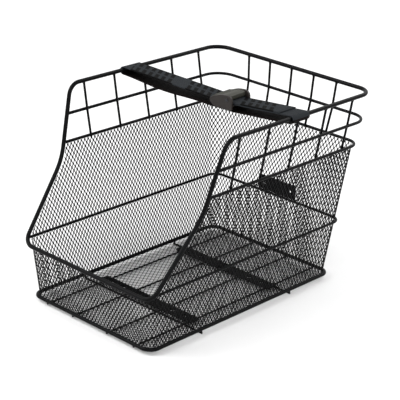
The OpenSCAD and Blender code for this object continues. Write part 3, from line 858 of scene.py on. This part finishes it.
BUCKLE_START, BUCKLE_END = 14.0, 53.0
BUCKLE_IN_W = STRAP_W * math.cos(STRAP_ANGLE) + 0.8
CHEEK_T = 3.6
BED_T = 3
BUCKLE_LOW_Z = BUCKLE_Z - 2 * STRAP_LOOP_R + STRAP_T / 2 + 0.6
BED_Z = BUCKLE_Z - STRAP_T / 2 - 0.05
PIN_X = BUCKLE_END - 9
KNUCKLE_R, LEVER_RISE = 2.6, 5.2
PIN_Z = BUCKLE_Z + STRAP_T / 2 + TAIL_LIFT + KNUCKLE_R + 0.3
LEVER_LOW_Z = BUCKLE_Z + STRAP_T / 2 + TAIL_LIFT + 0.3


def on_strap(p):
    """A point given along, across and above the strap, turned to the strap's slant."""
    c, s = math.cos(STRAP_ANGLE), math.sin(STRAP_ANGLE)
    return (c * p[0] - s * p[1], STRAP_MID_Y + s * p[0] + c * p[1], p[2])


def curve(points, steps=6):
    """A smooth line through points, in side view."""
    out = []
    n = len(points)
    for i in range(n - 1):
        p0, p1, p2, p3 = points[max(i - 1, 0)], points[i], points[i + 1], points[min(i + 2, n - 1)]
        for k in range(steps):
            t = k / steps
            out.append(tuple(
                b + 0.5 * t * (c - a + t * (2 * a - 5 * b + 4 * c - d + t * (3 * b - a - 3 * c + d)))
                for a, b, c, d in zip(p0, p1, p2, p3)))
    return out + [tuple(points[-1])]


def slab(verts, faces, outline, near, far):
    """Adds a side view outline that runs across the strap from near to far."""
    base, n = len(verts), len(outline)
    verts += [on_strap((x, y, z)) for y in (near, far) for x, z in outline]
    faces.append(tuple(base + k for k in range(n)))
    faces.append(tuple(base + n + k for k in reversed(range(n))))
    for k in range(n):
        m = (k + 1) % n
        faces.append((base + m, base + k, base + n + k, base + n + m))


def moulded(name, node, body, verts, faces, material, width):
    """A moulded piece in place of a CAD node, with edges rounded by width."""
    obj = mesh_object(name, verts, faces, material, smooth=False)
    bm = bmesh.new()
    bm.from_mesh(obj.data)
    bmesh.ops.recalc_face_normals(bm, faces=bm.faces)
    bm.to_mesh(obj.data)
    bm.free()
    bevel = obj.modifiers.new("rounded edges", "BEVEL")
    bevel.width = width * MM
    bevel.segments = 4
    bevel.limit_method = "ANGLE"
    bevel.angle_limit = math.radians(40)
    bevel.harden_normals = True
    shade_smooth(obj.data)
    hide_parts(node)
    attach(obj, body)


def buckle_body():
    """Two cheeks, one each side of the webbing, and the bed between them."""
    start, end, low, top = BUCKLE_START, BUCKLE_END, BUCKLE_LOW_Z, PIN_Z + LEVER_RISE + 0.6
    roof = [(start, BUCKLE_Z + 2.2), (start + 5, BUCKLE_Z + 5.2), (PIN_X - 14, top - 1.6)]
    roof += [(PIN_X - 5, top - 0.1), (PIN_X + 2, top), (end - 2.5, top - 2.2), (end - 0.2, PIN_Z - 1)]
    cheek = curve(roof) + [(end, low + 2.5), (end - 1.2, low + 0.7), (end - 3.2, low), (start + 9, low)]
    cheek += [(start + 1.5, BED_Z - 3.4), (start, BED_Z - 2)]
    verts, faces = [], []
    inner = BUCKLE_IN_W / 2
    for side in (-1, 1):
        slab(verts, faces, cheek, side * inner, side * (inner + CHEEK_T))
    start, end = start + 0.4, end - 0.5
    bed = [(start, BED_Z - BED_T), (start, BED_Z), (end, BED_Z), (end, BED_Z - BED_T)]
    slab(verts, faces, bed, -inner - 0.8, inner + 0.8)
    moulded("buckle_body_moulded", "buckle_body", "strap", verts, faces, BUCKLE, 1.1)


def buckle_lever():
    """The lever in side view: a ridged thumb end, a knuckle round the pin, and teeth underneath."""
    start, low, high = BUCKLE_START, LEVER_LOW_Z, PIN_Z + LEVER_RISE
    lever = [(start + 1, low), (start + 1, low + 1.4), (start + 3, low + 2.6)]
    for i in range(5):
        x = start + 4 + 2.8 * i
        z = low + 3.2 + (high - low - 4.6) * (x - start - 4) / 14
        lever += [(x, z), (x + 0.6, z + 0.7), (x + 1.4, z + 0.8), (x + 2.0, z + 0.4)]
    lever += [(PIN_X - 10, high - 0.5), (PIN_X - 5, high), (PIN_X, high), (PIN_X + 2, high - 1.2)]
    lever += [(PIN_X + 2.5, PIN_Z + 1), (PIN_X + 2.5, PIN_Z - 0.6)]
    for degrees in range(-30, -150, -20):
        a = math.radians(degrees)
        lever.append((PIN_X + KNUCKLE_R * math.cos(a), PIN_Z + KNUCKLE_R * math.sin(a)))
    lever.append((PIN_X - 3.4, low + 0.8))
    for x in range(4, 14, 2):
        lever += [(PIN_X - x, low), (PIN_X - x - 1, low + 0.8)]
    half = BUCKLE_IN_W / 2 - 0.4
    verts, faces = [], []
    slab(verts, faces, lever, -half, half)
    moulded("buckle_lever_moulded", "buckle_lever", "lever", verts, faces, LEVER, 0.45)


bottom_rim()
top_rim()
rails()
uprights()
floor_wires()
wall_panels()
floor_panel()
soften("front_mount_strip", 0.3, STRIP)
soften("rear_mount_strip", 0.3, STRIP)
soften("reflector_plate", 0.3, STRIP)
strap()
buckle_body()
buckle_lever()
soften("buckle_pin", 0.2, PIN)

# ---- Stage, lights and camera ----


def floor_and_lights():
    """A pale floor, an even white sky and three soft lights, in metres and watts."""
    mesh = bpy.data.meshes.new("stage_floor")
    half = 6.0
    corners = [(-half, -half, 0), (half, -half, 0), (half, half, 0), (-half, half, 0)]
    mesh.from_pydata(corners, [], [(0, 1, 2, 3)])
    floor = bpy.data.objects.new("stage_floor", mesh)
    bpy.context.scene.collection.objects.link(floor)
    mat, _, _, shader = new_material("pale_floor")
    shader.inputs["Base Color"].default_value = (0.85, 0.85, 0.85, 1)
    shader.inputs["Roughness"].default_value = 0.9
    mesh.materials.append(mat)
    world = bpy.data.worlds.new("studio")
    bpy.context.scene.world = world
    world.use_nodes = True
    sky = world.node_tree.nodes["Background"]
    sky.inputs["Color"].default_value = (1, 1, 1, 1)
    sky.inputs["Strength"].default_value = 0.9
    for name, place, size, power in (
        ("key_light", (-0.9, -1.1, 1.6), 1.2, 28.0),
        ("fill_light", (1.6, -0.9, 1.1), 1.4, 12.0),
        ("rim_light", (0.3, 1.6, 1.5), 1.2, 14.0),
    ):
        light = bpy.data.lights.new(name, "AREA")
        light.size = size
        light.energy = power
        obj = bpy.data.objects.new(name, light)
        obj.location = place
        aim = Vector((0, 0, 0.15)) - Vector(place)
        obj.rotation_euler = aim.to_track_quat("-Z", "Y").to_euler()
        bpy.context.scene.collection.objects.link(obj)


def camera():
    """A long lens looking at the low front and the right side from above, rolled a little."""
    azimuth, elevation, roll = math.radians(42.67), math.radians(22.32), math.radians(2.37)
    distance, target = 2.147, Vector((-0.0237, 0.0411, 0.1077 + RIM_Z * MM))
    level = Vector((math.sin(azimuth), -math.cos(azimuth), 0))
    back = level * math.cos(elevation) + Vector((0, 0, math.sin(elevation)))
    right = (-back).cross(Vector((0, 0, 1))).normalized()
    up = right.cross(-back)
    rolled_right = right * math.cos(roll) + up * math.sin(roll)
    rolled_up = up * math.cos(roll) - right * math.sin(roll)
    data = bpy.data.cameras.new("camera")
    data.sensor_width = 36.0
    data.lens = 133.29
    data.clip_end = 20.0
    obj = bpy.data.objects.new("camera", data)
    matrix = Matrix((rolled_right, rolled_up, back)).transposed().to_4x4()
    matrix.translation = target + back * distance
    obj.matrix_world = matrix
    bpy.context.scene.collection.objects.link(obj)
    bpy.context.scene.camera = obj


floor_and_lights()
camera()
bpy.context.scene.view_settings.view_transform = "Standard"
